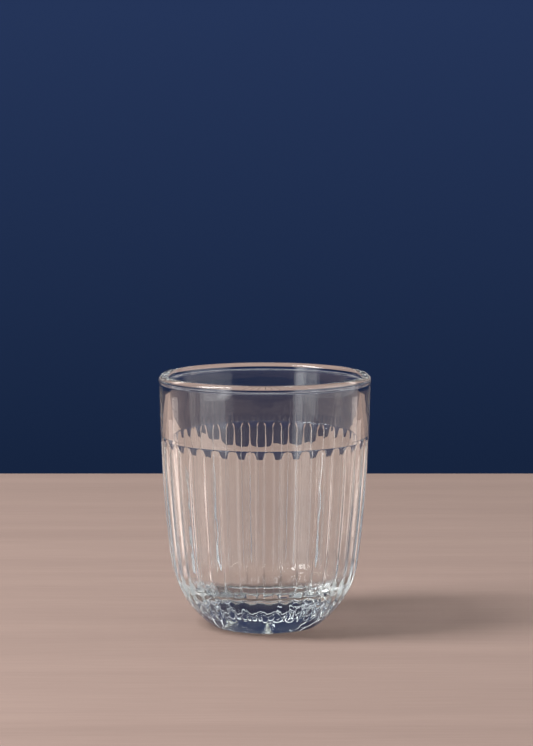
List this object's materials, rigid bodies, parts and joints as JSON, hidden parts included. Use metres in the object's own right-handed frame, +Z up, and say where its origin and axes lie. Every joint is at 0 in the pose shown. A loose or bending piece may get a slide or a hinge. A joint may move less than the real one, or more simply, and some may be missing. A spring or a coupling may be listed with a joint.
{
  "type": "tea glass",
  "caption": "Clear pressed-glass tea tumbler with a rounded rim bead, a smooth collar, upright flutes, a round heel and a heavy base.",
  "frame": {"origin": "middle of the standing ring, on the surface that the glass stands on", "axes": "+Z up along the axis of the glass; the flutes repeat evenly round it"},
  "size_m": [0.08, 0.08, 0.0953],
  "materials": {
    "clear_glass": "fire-polished clear soda-lime glass with a faint grey-green body tint"
  },
  "bodies": {
    "root": {"rim_bead": "clear_glass", "smooth_collar": "clear_glass", "fluted_wall": "clear_glass", "fluted_heel": "clear_glass", "heavy_base": "clear_glass"}
  },
  "joints": []
}
